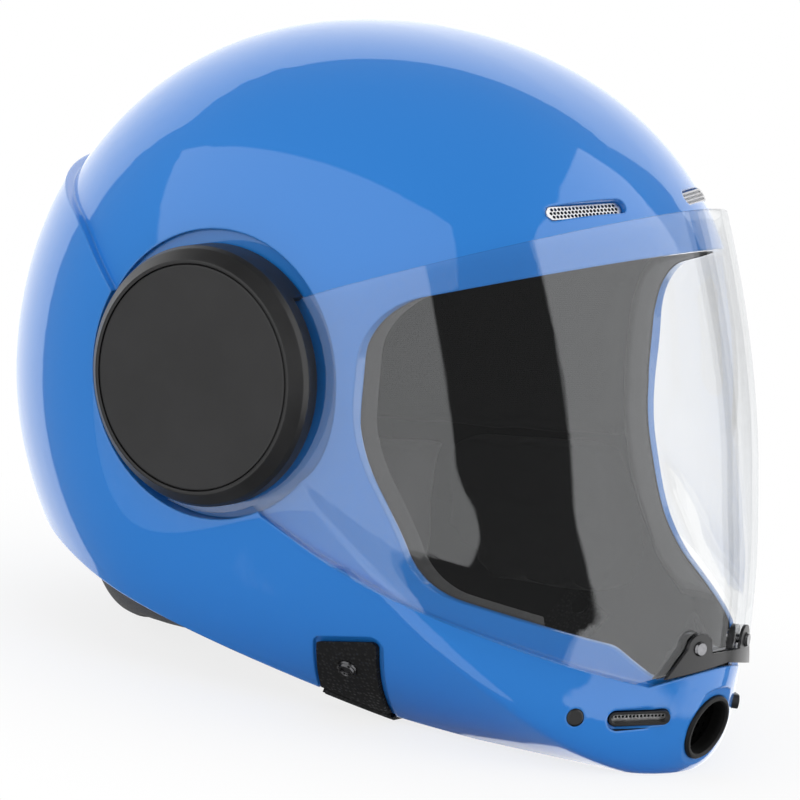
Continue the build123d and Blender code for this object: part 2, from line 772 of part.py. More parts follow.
with BuildPart() as chin_vent_mesh:
    with BuildSketch(chin_vent_plane.offset(-chin_vent_recess - mesh_depth)):
        SlotOverall(chin_vent_length - 2 * vent_frame_wall, chin_vent_width - 2 * vent_frame_wall)
        with GridLocations(vent_hole_pitch, vent_hole_pitch, chin_vent_holes, 1):
            RegularPolygon(vent_hole_radius, socket_sides, mode=Mode.SUBTRACT)
    extrude(amount=mesh_thickness)
write_pair(chin_vent_mesh, "chin_vent_mesh")

with BuildPart() as mouth_port_ring:
    add(round_block(mouth_plane, mouth_radius - running_gap / 2, mouth_ring_stand - mouth_facet_depth,
                    mouth_ring_depth))
    add(round_block(mouth_plane, mouth_radius - mouth_ring_wall, shell_wall, 2 * mouth_ring_depth),
        mode=Mode.SUBTRACT)
    chamfer(mouth_port_ring.edges().sort_by(Axis(mouth_plane.origin, mouth_plane.z_dir))[-2:], ring_round)
write(mouth_port_ring, "mouth_port_ring")

with BuildPart() as mouth_port_mesh:
    with BuildSketch(mouth_plane.offset(-mouth_facet_depth - mouth_mesh_depth)):
        Circle(mouth_radius - mouth_ring_wall)
        with GridLocations(mouth_hole_pitch, mouth_hole_pitch, 4, 4):
            RegularPolygon(mouth_hole_radius, socket_sides, mode=Mode.SUBTRACT)
    extrude(amount=mesh_thickness)
write(mouth_port_mesh, "mouth_port_mesh")

with BuildPart() as chin_plug:
    add(round_block(chin_plug_plane, chin_plug_radius, running_gap, shell_wall + chin_plug_tail))
    chamfer(chin_plug.edges().sort_by(Axis(chin_plug_plane.origin, chin_plug_plane.z_dir))[-1], ring_round)
write_pair(chin_plug, "chin_plug")

# Strap tab: a flap in the shell's recess, hinged where it folds under the rim
with BuildPart() as strap_tab:
    add(tab_outer_skin)
    add(tab_inner_skin, mode=Mode.SUBTRACT)
    add(tab_block(0.0, tab_length), mode=Mode.INTERSECT)
    add(round_block(snap_plane, snap_post_radius, shell_wall, shell_wall), mode=Mode.SUBTRACT)
write_pair(strap_tab, "strap_tab")

with BuildPart() as strap_anchor:
    add(return_outer_skin)
    add(return_inner_skin, mode=Mode.SUBTRACT)
    add(strap_block(tab_length - tab_return_length, tab_length + tab_fold_gap + tab_fold_depth),
        mode=Mode.INTERSECT)
    add(round_block(rivet_plane, rivet_post_radius, shell_wall, shell_wall), mode=Mode.SUBTRACT)
with BuildPart() as strap_fold:
    add(tab_roll_skin)
    add(return_inner_skin, mode=Mode.SUBTRACT)
    add(strap_block(tab_length + tab_fold_gap, tab_length + tab_fold_gap + tab_fold_depth),
        mode=Mode.INTERSECT)
with BuildPart() as strap_loop:
    add(strap_anchor.part)
    add(strap_fold.part)
    with BuildSketch(Plane(origin=tab_roll_front, z_dir=tab_roll_rear - tab_roll_front)):
        Circle(tab_roll_radius)
    extrude(amount=(tab_roll_rear - tab_roll_front).length)
write_pair(strap_loop, "strap_loop")

with BuildPart() as snap_cap:
    with BuildSketch(snap_plane.offset(tab_stand + contact_gap)):
        Circle(snap_radius)
    extrude(amount=snap_height, taper=snap_taper)
    with BuildSketch(snap_plane.offset(tab_stand + contact_gap + snap_height)):
        Circle(snap_ring_radius)
        Circle(snap_ring_inner_radius, mode=Mode.SUBTRACT)
    extrude(amount=snap_ring_height, taper=snap_taper)
    with BuildSketch(snap_plane.offset(tab_stand + contact_gap)):
        Circle(snap_post_radius - contact_gap)
    extrude(amount=-tab_thickness)
write_pair(snap_cap, "snap_cap")

with BuildPart() as snap_stud:
    add(round_block(snap_plane, snap_stud_radius - running_gap / 2, -tab_recess_depth,
                    tab_recess_depth + snap_stud_depth))
write_pair(snap_stud, "snap_stud")

with BuildPart() as strap_rivet:
    add(round_block(rivet_plane, rivet_post_radius - contact_gap, rivet_post_length - contact_gap,
                    2 * soft_gap + tab_thickness))
    add(round_block(rivet_plane, rivet_radius, -2 * soft_gap - tab_thickness,
                    2 * soft_gap + tab_thickness + rivet_height))
write_pair(strap_rivet, "strap_rivet")

# Lining
with BuildPart() as impact_liner:
    add(return_outer_skin)
    add(cavity_skin(-liner_depth), mode=Mode.SUBTRACT)
    add(side_block(port_outline, port_bends, port_tuck), mode=Mode.SUBTRACT)
    add(side_block([(-overrun, -liner_low_drop), (overrun, -liner_low_drop), (overrun, -overrun),
                    (-overrun, -overrun)], 0.0), mode=Mode.SUBTRACT)
    pocket = disc(nut_radius + soft_gap, boss_reach - nut_height - soft_gap, overrun)
    add(pocket, mode=Mode.SUBTRACT)
    add(mirrored(pocket), mode=Mode.SUBTRACT)
write(impact_liner, "impact_liner")

with BuildPart() as face_trim:
    add(return_outer_skin)
    add(cavity_skin(-soft_gap - trim_thickness), mode=Mode.SUBTRACT)
    add(side_block(trim_outer_outline, trim_outer_bends), mode=Mode.INTERSECT)
    add(side_block(trim_inner_outline, trim_inner_bends), mode=Mode.SUBTRACT)
write(face_trim, "face_trim")

with BuildPart() as cheek_pad:
    add(return_outer_skin)
    add(cavity_skin(-cheek_depth), mode=Mode.SUBTRACT)
    add(side_block(cheek_outline, cheek_bends), mode=Mode.INTERSECT)
    split(bisect_by=Plane.YZ, keep=Keep.TOP)
write_pair(cheek_pad, "cheek_pad")

pad_outer_skin = cavity_skin(-liner_depth - soft_gap)
pad_inner_skin = cavity_skin(-pad_depth)
with BuildPart() as crown_pad:
    add(pad_outer_skin)
    add(pad_inner_skin, mode=Mode.SUBTRACT)
    add(side_block(crown_outline, 0.0), mode=Mode.INTERSECT)
    Box(2 * crown_pad_across, 2 * overrun, 2 * overrun, mode=Mode.INTERSECT)
write(crown_pad, "crown_pad")

with BuildPart() as rear_pad:
    add(pad_outer_skin)
    add(pad_inner_skin, mode=Mode.SUBTRACT)
    add(side_block(rear_outline, 0.0), mode=Mode.INTERSECT)
    Box(2 * rear_pad_across, 2 * overrun, 2 * overrun, mode=Mode.INTERSECT)
write(rear_pad, "rear_pad")

with BuildPart() as chin_pad:
    add(cavity_skin(-chin_pad_gap))
    add(cavity_skin(-chin_pad_depth), mode=Mode.SUBTRACT)
    add(side_block(chin_pad_outline, 0.0), mode=Mode.INTERSECT)
    add(round_block(mouth_plane, mouth_radius + soft_gap, overrun, overrun), mode=Mode.SUBTRACT)
    for relief in (
        slot_block(chin_vent_plane, chin_vent_length + 2 * soft_gap, chin_vent_width + 2 * soft_gap,
                   shell_wall, vent_frame_depth + soft_gap),
        round_block(chin_plug_plane, chin_plug_radius + soft_gap, shell_wall,
                    shell_wall + chin_plug_tail + soft_gap),
    ):
        add(relief, mode=Mode.SUBTRACT)
        add(mirrored(relief), mode=Mode.SUBTRACT)
write(chin_pad, "chin_pad")


def roll_form(sections):
    """Upright form through ellipses at falling heights."""
    with BuildPart() as form:
        for drop, across, reach in sections:
            with BuildSketch(Plane.XY.offset(-drop)):
                Ellipse(across, reach)
        loft()
    return form.part


with BuildPart() as neck_roll:
    add(roll_form(roll_outer_sections))
    add(roll_form(roll_inner_sections), mode=Mode.SUBTRACT)
    split(bisect_by=Plane(origin=(0, roll_front, 0), z_dir=(0, 1, 0)), keep=Keep.TOP)
    add(below_ground, mode=Mode.SUBTRACT)
write(neck_roll, "neck_roll")
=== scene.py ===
import bmesh
import bpy
import json
import math
import numpy as np
from mathutils import Matrix, Vector
from mathutils.bvhtree import BVHTree


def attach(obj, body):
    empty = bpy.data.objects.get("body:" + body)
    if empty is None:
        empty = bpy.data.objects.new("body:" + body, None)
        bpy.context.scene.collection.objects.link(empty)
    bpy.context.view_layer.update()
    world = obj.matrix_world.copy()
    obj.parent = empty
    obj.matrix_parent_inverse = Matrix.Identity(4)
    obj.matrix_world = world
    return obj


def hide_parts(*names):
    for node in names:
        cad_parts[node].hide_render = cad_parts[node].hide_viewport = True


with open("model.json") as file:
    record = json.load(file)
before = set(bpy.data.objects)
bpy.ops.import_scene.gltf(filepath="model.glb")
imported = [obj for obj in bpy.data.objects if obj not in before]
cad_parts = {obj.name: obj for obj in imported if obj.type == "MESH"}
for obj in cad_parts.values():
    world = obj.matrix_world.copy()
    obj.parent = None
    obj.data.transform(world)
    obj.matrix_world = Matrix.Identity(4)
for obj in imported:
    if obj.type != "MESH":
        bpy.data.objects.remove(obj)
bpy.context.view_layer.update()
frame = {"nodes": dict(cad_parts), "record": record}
nodes = frame["nodes"]
scene = bpy.context.scene

# The helmet is tipped onto its chin and neck roll: turn and shift from the wearing position
TIP = math.radians(10.705292)
PIVOT = Vector((0.0, 0.015456, 0.108373))


def placed(x, y, z):
    """A point of the wearing position, in metres from the visor's pivot, in the row frame."""
    c, s = math.cos(TIP), math.sin(TIP)
    return PIVOT + Vector((x, y * c + z * s, -y * s + z * c))


def turned(v):
    """A direction of the wearing position in the row frame."""
    return placed(*v) - PIVOT


# Node helpers


def new_material(name):
    """A material with its node tree and its Principled shader."""
    mat = bpy.data.materials.new(name)
    mat.use_nodes = True
    tree = mat.node_tree
    return mat, tree, tree.nodes["Principled BSDF"]


def add_node(tree, kind, inputs=None, **settings):
    """A node with its settings, and its inputs linked or set."""
    n = tree.nodes.new(kind)
    for key, value in settings.items():
        setattr(n, key, value)
    for key, value in (inputs or {}).items():
        if hasattr(value, "is_output"):
            tree.links.new(value, n.inputs[key])
        else:
            n.inputs[key].default_value = value
    return n


def position(tree):
    """Object coordinates in metres; every object sits at the origin."""
    return tree.nodes.new("ShaderNodeTexCoord").outputs["Object"]


def noise_value(tree, scale, detail=3.0, rough=0.5):
    """Noise at this many waves a metre."""
    n = add_node(tree, "ShaderNodeTexNoise",
                 {"Vector": position(tree), "Scale": scale, "Detail": detail, "Roughness": rough})
    return n.outputs["Fac"]


def ramp(tree, value, low, high, to_low=0.0, to_high=1.0, smooth=False):
    """The value mapped from one range to another, held at both ends."""
    n = add_node(tree, "ShaderNodeMapRange",
                 {"Value": value, "From Min": low, "From Max": high, "To Min": to_low, "To Max": to_high})
    if smooth:
        n.interpolation_type = "SMOOTHSTEP"
    return n.outputs[0]


def calc(tree, operation, a, b=0.0):
    """Result of a math node on two values."""
    return add_node(tree, "ShaderNodeMath", {0: a, 1: b}, operation=operation).outputs[0]


def mix_colour(tree, factor, a, b):
    """Colour between a and b; each is three numbers or a socket."""
    n = tree.nodes.new("ShaderNodeMix")
    n.data_type = "RGBA"
    for socket, value in ((n.inputs["Factor"], factor), (n.inputs["A"], a), (n.inputs["B"], b)):
        if hasattr(value, "is_output"):
            tree.links.new(value, socket)
        else:
            socket.default_value = (*value, 1.0) if hasattr(value, "__len__") and len(value) == 3 else value
    return n.outputs["Result"]


def bump(tree, bsdf, height, strength, distance, socket="Normal", under=None):
    """Bump into this socket of the shader, over the rounded normal where one is given."""
    n = add_node(tree, "ShaderNodeBump", {"Height": height, "Strength": strength, "Distance": distance})
    if under is not None:
        tree.links.new(under, n.inputs["Normal"])
    tree.links.new(n.outputs[0], bsdf.inputs[socket])


# Materials

# Cosines, between a face and the way outward, where the shell's bare inside begins and where it is complete
INSIDE_FROM, INSIDE_TO = -0.44, -0.50
# The visor's share of mirror at a straight look, and what its rim adds to that
VISOR_GLOSS, VISOR_RISE = 0.062, 0.93
# How uneven moulded gloss is, the threads' pitch in metres, and the weave's share of the cloth's height
GLOSS_SPREAD = 0.06
WEAVE_PITCH = 0.0007
WEAVE_SHARE = 0.25
# The mouth port's axis, where the ring's front lies along it, and how far behind that front the painted
# shade on the rubber is darkest and where it begins, in metres
MOUTH_AXIS = (0.0, -0.9838, -0.1793)
MOUTH_FRONT = 0.13225
MOUTH_SHADE_DEPTHS = (0.003, 0.0005)
# Samples of the shader's rounded edges
BEVEL_SAMPLES = 6


def rounded(tree, radius):
    """Normal with the solid's sharp edges rounded off by this radius."""
    return add_node(tree, "ShaderNodeBevel", {"Radius": radius}, samples=BEVEL_SAMPLES).outputs[0]


def inner_faces(tree):
    """1 where the shell faces its own inside, 0 outside and on the cut edges."""
    outward = add_node(tree, "ShaderNodeVectorMath", {0: position(tree), 1: tuple(PIVOT)},
                       operation="SUBTRACT")
    outward = add_node(tree, "ShaderNodeVectorMath", {0: outward.outputs[0]}, operation="NORMALIZE")
    facing = add_node(tree, "ShaderNodeNewGeometry").outputs["True Normal"]
    along = add_node(tree, "ShaderNodeVectorMath", {0: outward.outputs[0], 1: facing},
                     operation="DOT_PRODUCT")
    return ramp(tree, along.outputs["Value"], INSIDE_TO, INSIDE_FROM, 1.0, 0.0)


def paint_material():
    """Solid blue paint under a clear coat, with faint orange peel; bare dark laminate inside."""
    mat, tree, b = new_material("shell_paint_blue")
    drift = noise_value(tree, 9.0, 2.0)
    blue = mix_colour(tree, drift, (0.0185, 0.215, 0.675), (0.0200, 0.223, 0.695))
    bare = mix_colour(tree, noise_value(tree, 420.0, 4.0, 0.7), (0.006, 0.006, 0.0065),
                      (0.014, 0.014, 0.015))
    inside = inner_faces(tree)
    tree.links.new(mix_colour(tree, inside, blue, bare), b.inputs["Base Color"])
    tree.links.new(ramp(tree, inside, 0.0, 1.0, 0.46, 0.9), b.inputs["Roughness"])
    tree.links.new(ramp(tree, inside, 0.0, 1.0, 1.0, 0.0), b.inputs["Coat Weight"])
    b.inputs["Specular IOR Level"].default_value = 0.2
    b.inputs["Coat Roughness"].default_value = 0.02
    b.inputs["Coat IOR"].default_value = 1.5
    edge = rounded(tree, 0.0011)
    bump(tree, b, noise_value(tree, 210.0, 2.0), 0.015, 0.0004, "Coat Normal", edge)
    bump(tree, b, noise_value(tree, 900.0, 2.0), 0.03, 0.0003, "Normal", edge)
    return mat


def visor_material():
    """Clear sheet: lets light through and mirrors a little of the studio at its faces."""
    mat, tree, b = new_material("visor_clear")
    out = tree.nodes["Material Output"]
    tree.nodes.remove(b)
    facing = add_node(tree, "ShaderNodeLayerWeight", {"Blend": 0.5}).outputs["Facing"]
    rise = calc(tree, "POWER", facing, 5.0)
    gloss = add_node(tree, "ShaderNodeMath", {0: rise, 1: VISOR_RISE, 2: VISOR_GLOSS},
                     operation="MULTIPLY_ADD")
    clear = add_node(tree, "ShaderNodeBsdfTransparent", {"Color": (0.976, 0.978, 0.979, 1.0)})
    haze = ramp(tree, noise_value(tree, 60.0, 4.0), 0.3, 0.8, 0.0, 0.010)
    mirror = add_node(tree, "ShaderNodeBsdfGlossy", {"Color": (0.68, 0.69, 0.70, 1.0), "Roughness": haze})
    mix = add_node(tree, "ShaderNodeMixShader",
                   {0: gloss.outputs[0], 1: clear.outputs[0], 2: mirror.outputs[0]})
    tree.links.new(mix.outputs[0], out.inputs["Surface"])
    return mat


def moulded_material(name, colour, roughness, grain=1400.0, strength=0.25, edge=0.0004, shine=0.5):
    """Moulded plastic or rubber: fine spark texture, slightly uneven gloss, paler worn patches."""
    mat, tree, b = new_material(name)
    fine = noise_value(tree, grain, 2.0, 0.6)
    broad = noise_value(tree, 35.0, 4.0, 0.6)
    lighter = tuple(min(1.0, c * 1.9) for c in colour)
    b.inputs["Specular IOR Level"].default_value = shine
    worn = ramp(tree, broad, 0.35, 0.75)
    tree.links.new(mix_colour(tree, worn, colour, lighter), b.inputs["Base Color"])
    tree.links.new(ramp(tree, broad, 0.3, 0.7, roughness - GLOSS_SPREAD, roughness + GLOSS_SPREAD),
                   b.inputs["Roughness"])
    bump(tree, b, fine, strength, 0.00012, under=rounded(tree, edge))
    return mat


def metal_material(name, colour, roughness, scratch=0.12, edge=0.0003):
    """Plated or drawn metal with fine scratches."""
    mat, tree, b = new_material(name)
    b.inputs["Metallic"].default_value = 1.0
    fine = noise_value(tree, 700.0, 5.0, 0.7)
    dark = tuple(c * 0.72 for c in colour)
    tree.links.new(mix_colour(tree, ramp(tree, fine, 0.35, 0.7), dark, colour), b.inputs["Base Color"])
    tree.links.new(ramp(tree, fine, 0.3, 0.75, max(0.03, roughness - 0.08), roughness + scratch),
                   b.inputs["Roughness"])
    bump(tree, b, fine, 0.12, 0.00008, under=rounded(tree, edge))
    return mat


def weave_height(tree, pitch):
    """Height of a plain weave, 0 to 1, at this thread pitch in metres; it shows on faces of any turn."""
    parts = add_node(tree, "ShaderNodeSeparateXYZ", {0: position(tree)})
    across = calc(tree, "ADD", parts.outputs["X"], calc(tree, "MULTIPLY", parts.outputs["Y"], 0.6))
    along = calc(tree, "ADD", parts.outputs["Z"], calc(tree, "MULTIPLY", parts.outputs["Y"], 0.8))
    turn = 2 * math.pi / pitch
    a = calc(tree, "SINE", calc(tree, "MULTIPLY", across, turn))
    b = calc(tree, "SINE", calc(tree, "MULTIPLY", along, turn))
    weave = add_node(tree, "ShaderNodeMath", {0: calc(tree, "MULTIPLY", a, b), 1: 0.5, 2: 0.5},
                     operation="MULTIPLY_ADD")
    return weave.outputs[0]


def cloth_material(name, dark, light, fuzz=0.2, depth=0.0003):
    """Brushed lining cloth: a fine weave almost hidden under a short nap, and a mottled shade."""
    mat, tree, b = new_material(name)
    mottled = noise_value(tree, 45.0, 5.0, 0.65)
    nap = noise_value(tree, 1500.0, 3.0, 0.75)
    shade = calc(tree, "ADD", calc(tree, "MULTIPLY", mottled, 0.6), calc(tree, "MULTIPLY", nap, 0.4))
    tree.links.new(mix_colour(tree, ramp(tree, shade, 0.3, 0.7), dark, light), b.inputs["Base Color"])
    b.inputs["Roughness"].default_value = 0.92
    b.inputs["Specular IOR Level"].default_value = 0.15
    b.inputs["Sheen Weight"].default_value = fuzz
    b.inputs["Sheen Roughness"].default_value = 0.5
    weave = calc(tree, "MULTIPLY", weave_height(tree, WEAVE_PITCH), WEAVE_SHARE)
    bump(tree, b, calc(tree, "ADD", weave, nap), 0.6, depth)
    return mat


def leather_material():
    """Black leatherette with a pebble grain, paler on the tops of the pebbles."""
    mat, tree, b = new_material("strap_leatherette")
    cells = add_node(tree, "ShaderNodeTexVoronoi",
                     {"Vector": position(tree), "Scale": 720.0, "Randomness": 0.6})
    grain = ramp(tree, cells.outputs["Distance"], 0.12, 0.55, 1.0, 0.0, smooth=True)
    worn = ramp(tree, noise_value(tree, 260.0, 3.0, 0.6), 0.3, 0.7, 0.25, 1.0)
    tree.links.new(mix_colour(tree, calc(tree, "MULTIPLY", grain, worn), (0.0035, 0.0035, 0.004),
                              (0.024, 0.024, 0.025)), b.inputs["Base Color"])
    tree.links.new(ramp(tree, grain, 0.0, 1.0, 0.7, 0.42), b.inputs["Roughness"])
    b.inputs["Specular IOR Level"].default_value = 0.3
    bump(tree, b, grain, 0.4, 0.0003)
    return mat


def port_ring_shaded_material():
    """Black rubber with painted shade that darkens it into the depth of the mouth port."""
    mat, tree, b = new_material("mouth_ring_rubber_painted_shade")
    at = add_node(tree, "ShaderNodeVectorMath", {0: position(tree), 1: MOUTH_AXIS},
                  operation="DOT_PRODUCT")
    deep, shallow = (MOUTH_FRONT - edge for edge in MOUTH_SHADE_DEPTHS)
    # Painted shade: the rubber's colour darkens from the ring's front into the depth of the port
    depth = ramp(tree, at.outputs["Value"], deep, shallow, smooth=True)
    tone = ramp(tree, noise_value(tree, 60.0, 3.0), 0.3, 0.7, 0.8, 1.1)
    tree.links.new(mix_colour(tree, calc(tree, "MULTIPLY", depth, tone), (0.0012, 0.0012, 0.0012),
                              (0.010, 0.010, 0.0105)), b.inputs["Base Color"])
    tree.links.new(ramp(tree, depth, 0.0, 1.0, 1.0, 0.5), b.inputs["Roughness"])
    b.inputs["Specular IOR Level"].default_value = 0.25
    bump(tree, b, noise_value(tree, 1800.0, 2.0, 0.6), 0.2, 0.00012, under=rounded(tree, 0.0004))
    return mat


# One material for each slot of the record, then the nodes that have one of their own
MATERIALS = {
    "shell_paint": paint_material(),
    "clear_visor": visor_material(),
    "latch_black": moulded_material("latch_satin_black", (0.009, 0.009, 0.010), 0.34, 900.0, 0.1),
    "bright_steel": metal_material("stud_steel", (0.22, 0.22, 0.23), 0.22, 0.06),
    "black_plastic": moulded_material("pivot_satin_black", (0.0085, 0.0085, 0.009), 0.40, 1500.0, 0.16,
                                      edge=0.0007),
    "dark_mesh": metal_material("vent_mesh_metal", (0.66, 0.66, 0.67), 0.34),
    "rubber_trim": moulded_material("trim_black_rubber", (0.010, 0.010, 0.0105), 0.45, 1800.0, 0.25),
    "strap_leather": leather_material(),
    "dark_chrome": metal_material("snap_dark_chrome", (0.11, 0.11, 0.115), 0.26, 0.03),
    "liner_foam": cloth_material("liner_dark_cloth", (0.0075, 0.0075, 0.008), (0.0095, 0.0095, 0.010),
                                 fuzz=0.04, depth=0.0001),
    "pad_fabric": cloth_material("pad_dark_cloth", (0.0095, 0.0095, 0.010), (0.0125, 0.0125, 0.013),
                                 fuzz=0.06, depth=0.0001),
}
NODE_MATERIALS = {
    "face_trim": cloth_material("trim_grey_foam", (0.050, 0.050, 0.051), (0.068, 0.068, 0.069), fuzz=0.1),
    # Painted shade: the port's black plastic mesh is darkened to almost nothing and given no shine, to
    # stand in for the shade inside the port
    "mouth_port_mesh": moulded_material("mouth_mesh_black_painted_shade", (0.0008, 0.0008, 0.0008), 0.9, shine=0.02),
    "mouth_port_ring": port_ring_shaded_material(),
    # Painted light: the neck roll is the pads' dark cloth made several times paler, to stand in for the
    # light the floor throws on it
    "neck_roll": cloth_material("neck_roll_cloth_painted_light", (0.062, 0.062, 0.064), (0.082, 0.082, 0.084)),
}

# The shell's port outline and its corner radii, seen from the side, in mm from the visor's pivot
PORT_OUTLINE = [(-170.0, 50.0), (-57.0, 24.5), (-52.0, -22.0), (-70.0, -68.0), (-119.0, -88.0)]
PORT_BENDS = [24.0, 60.0, 30.0]
MM = 0.001
# The foam band: how far outside that outline its two sides lie, and its section as pairs of the share of
# the way from side to side and the depth under the shell's inner wall
BAND_SIDES = (0.4, 2.9)
BAND_PROFILE = [(0.0, 0.4), (0.0, 4.0), (0.0, 8.0), (0.04, 9.9), (0.16, 10.6), (0.4, 11.0), (1.0, 11.0),
                (1.0, 0.4)]
# Steps of each fan of rays, where the fans start at the top and the sill, and where the band ends
BAND_FAN = 14
BAND_FAN_TOP = -80.0
BAND_FAN_LOW = -96.0
BAND_END = -118.0

slot_of = {s["node"]: s["material_slot"] for s in frame["record"]["subparts"]}


def dress(obj, material):
    """Gives the object this one material."""
    obj.data.materials.clear()
    obj.data.materials.append(material)


for name, obj in nodes.items():
    dress(obj, NODE_MATERIALS.get(name, MATERIALS[slot_of[name]]))


# Soft pieces

# Reach of the weld before the remesh in metres, and rounds of smoothing after it
WELD_REACH = 0.00002
RELAX_ROUNDS = 3
# Pressure, quality and frames of the cloth
CLOTH_PRESSURE = 4.0
CLOTH_QUALITY = 5
CLOTH_FRAMES = 20
# Piece, node, voxel, shrink before swelling and cap on the swelling, in metres; the liner keeps its form
SOFT = [
    ("lining_neck_roll", "neck_roll", 0.005, 0.001, 0.006),
    ("lining_crown", "crown_pad", 0.005, 0.001, 0.005),
    ("lining_rear", "rear_pad", 0.005, 0.001, 0.005),
    ("lining_cheek_left", "cheek_pad_left", 0.004, 0.001, 0.005),
    ("lining_cheek_right", "cheek_pad_right", 0.004, 0.001, 0.005),
    ("lining_chin", "chin_pad", 0.004, 0.001, 0.004),
    ("lining_liner", "impact_liner", 0.005, 0.0, 0.0),
]


def soft_piece(name, node, voxel, shrink, cap):
    """Padded piece in the node's place, swollen by cloth pressure from its plain solid up to cap."""
    obj = bpy.data.objects.new(name, nodes[node].data.copy())
    scene.collection.objects.link(obj)
    bpy.context.view_layer.objects.active = obj
    weld = obj.modifiers.new("weld", "WELD")
    weld.merge_threshold = WELD_REACH
    remesh = obj.modifiers.new("remesh", "REMESH")
    remesh.mode = "VOXEL"
    remesh.voxel_size = voxel
    apply_modifiers(obj)
    relax(obj)
    start = [v.co.copy() for v in obj.data.vertices]
    obj.data.update()
    for v in obj.data.vertices:
        v.co -= v.normal * shrink
    if cap:
        swell(obj, start, cap)
    dress(obj, NODE_MATERIALS.get(node, MATERIALS[slot_of[node]]))
    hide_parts(node)
    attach(obj, "helmet")
    subdivide(obj)


def swell(obj, start, cap):
    """Cloth pressure from inside, with each point kept within cap of where it started."""
    cloth = obj.modifiers.new("cloth", "CLOTH")
    cloth.settings.use_pressure = True
    cloth.settings.uniform_pressure_force = CLOTH_PRESSURE
    cloth.settings.effector_weights.gravity = 0.0
    cloth.settings.quality = CLOTH_QUALITY
    cloth.point_cache.frame_start = 1
    cloth.point_cache.frame_end = CLOTH_FRAMES
    for step in range(1, CLOTH_FRAMES + 1):
        scene.frame_set(step)
    apply_modifiers(obj)
    scene.frame_set(1)
    for v, home in zip(obj.data.vertices, start):
        move = v.co - home
        if move.length > cap:
            v.co = home + move.normalized() * cap


def apply_modifiers(obj):
    """Puts the modifiers' result in place of the object's mesh."""
    dg = bpy.context.evaluated_depsgraph_get()
    made = bpy.data.meshes.new_from_object(obj.evaluated_get(dg))
    obj.modifiers.clear()
    old = obj.data
    obj.data = made
    bpy.data.meshes.remove(old)


def relax(obj):
    """Smooths out the remesh's steps."""
    bm = bmesh.new()
    bm.from_mesh(obj.data)
    for _ in range(RELAX_ROUNDS):
        bmesh.ops.smooth_vert(bm, verts=bm.verts, factor=0.5, use_axis_x=True, use_axis_y=True,
                              use_axis_z=True)
    bm.to_mesh(obj.data)
    bm.free()


def subdivide(obj):
    """One subdivision, shaded smooth."""
    sub = obj.modifiers.new("smooth", "SUBSURF")
    sub.levels = sub.render_levels = 1
    apply_modifiers(obj)
    for p in obj.data.polygons:
        p.use_smooth = True


for soft in SOFT:
    soft_piece(*soft)


# Perforated mesh in the vents

# Rows of holes tried on each side of the middle; then, in pitches, the rows' step, the least distance from
# a hole's middle to the edge, and the distance under which two corners are one
HOLE_ROWS = 3
ROW_STEP = math.sqrt(0.75)
HOLE_MARGIN = 0.6
MERGE_SHARE = 0.01


def nearest_on_slot(u, v, length, width):
    """Nearest point on the outline of a slot with round ends."""
    straight = (length - width) / 2
    if abs(u) <= straight:
        return u, math.copysign(width / 2, v)
    middle = math.copysign(straight, u)
    arm = Vector((u - middle, v)).normalized() * (width / 2)
    return middle + arm.x, arm.y


def hex_plate(name, node, pitch, hole):
    """Plate with rows of six-sided holes right up to its edge, in the place of the node's plate."""
    data = nodes[node].data
    points = np.array([v.co for v in data.vertices])
    middle = (points.min(0) + points.max(0)) / 2
    axes = np.linalg.eigh(np.cov((points - points.mean(0)).T))[1]
    normal, aside, along = (Vector(axes[:, i]) for i in range(3))
    normal *= 1.0 if normal.dot(Vector(middle) - PIVOT) > 0 else -1.0
    frame_axes = (along, aside, normal)
    spans = [points @ np.array(a) for a in frame_axes]
    centre = sum((a * float((s.min() + s.max()) / 2) for a, s in zip(frame_axes, spans)), Vector())
    length, width, thick = (float(s.max() - s.min()) for s in spans)
    bm = bmesh.new()
    outer = pitch / math.sqrt(3)
    turns = [math.radians(30 + 60 * k) for k in range(6)]
    reach = int(length / pitch)
    holes = set()
    for j in range(-HOLE_ROWS, HOLE_ROWS + 1):
        for i in range(-reach, reach + 1):
            u, v = (i + 0.5 * (j % 2)) * pitch, j * pitch * ROW_STEP
            edge_u, edge_v = nearest_on_slot(u, v, length, width)
            inside = abs(v) < width / 2 and abs(u) < math.hypot(edge_u, edge_v)
            if not inside or math.hypot(edge_u - u, edge_v - v) < HOLE_MARGIN * pitch:
                continue
            rim = [bm.verts.new((u + outer * math.cos(t), v + outer * math.sin(t), 0)) for t in turns]
            gap = [bm.verts.new((u + hole * math.cos(t), v + hole * math.sin(t), 0)) for t in turns]
            holes.update(gap)
            for k in range(6):
                m = (k + 1) % 6
                bm.faces.new((rim[k], rim[m], gap[m], gap[k]))
    bmesh.ops.remove_doubles(bm, verts=bm.verts, dist=pitch * MERGE_SHARE)
    for v in bm.verts:
        if v.is_boundary and v not in holes:
            v.co.x, v.co.y = nearest_on_slot(v.co.x, v.co.y, length, width)
    bmesh.ops.solidify(bm, geom=bm.faces[:], thickness=thick)
    basis = Matrix(frame_axes).transposed()
    heights = [v.co.z for v in bm.verts]
    lift = (min(heights) + max(heights)) / 2
    for v in bm.verts:
        v.co = centre + basis @ (v.co - Vector((0, 0, lift)))
    bmesh.ops.recalc_face_normals(bm, faces=bm.faces)
    if bm.calc_volume(signed=True) < 0:
        bmesh.ops.reverse_faces(bm, faces=bm.faces)
    mesh = bpy.data.meshes.new(name)
    bm.to_mesh(mesh)
    bm.free()
    obj = bpy.data.objects.new(name, mesh)
    scene.collection.objects.link(obj)
    dress(obj, MATERIALS["dark_mesh"])
    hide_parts(node)
    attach(obj, "helmet")


for side in ("left", "right"):
    hex_plate("vent_mesh_brow_" + side, "brow_vent_mesh_" + side, pitch=0.00155, hole=0.00062)
    hex_plate("vent_mesh_chin_" + side, "chin_vent_mesh_" + side, pitch=0.00125, hole=0.0005)


# Band around the eye port


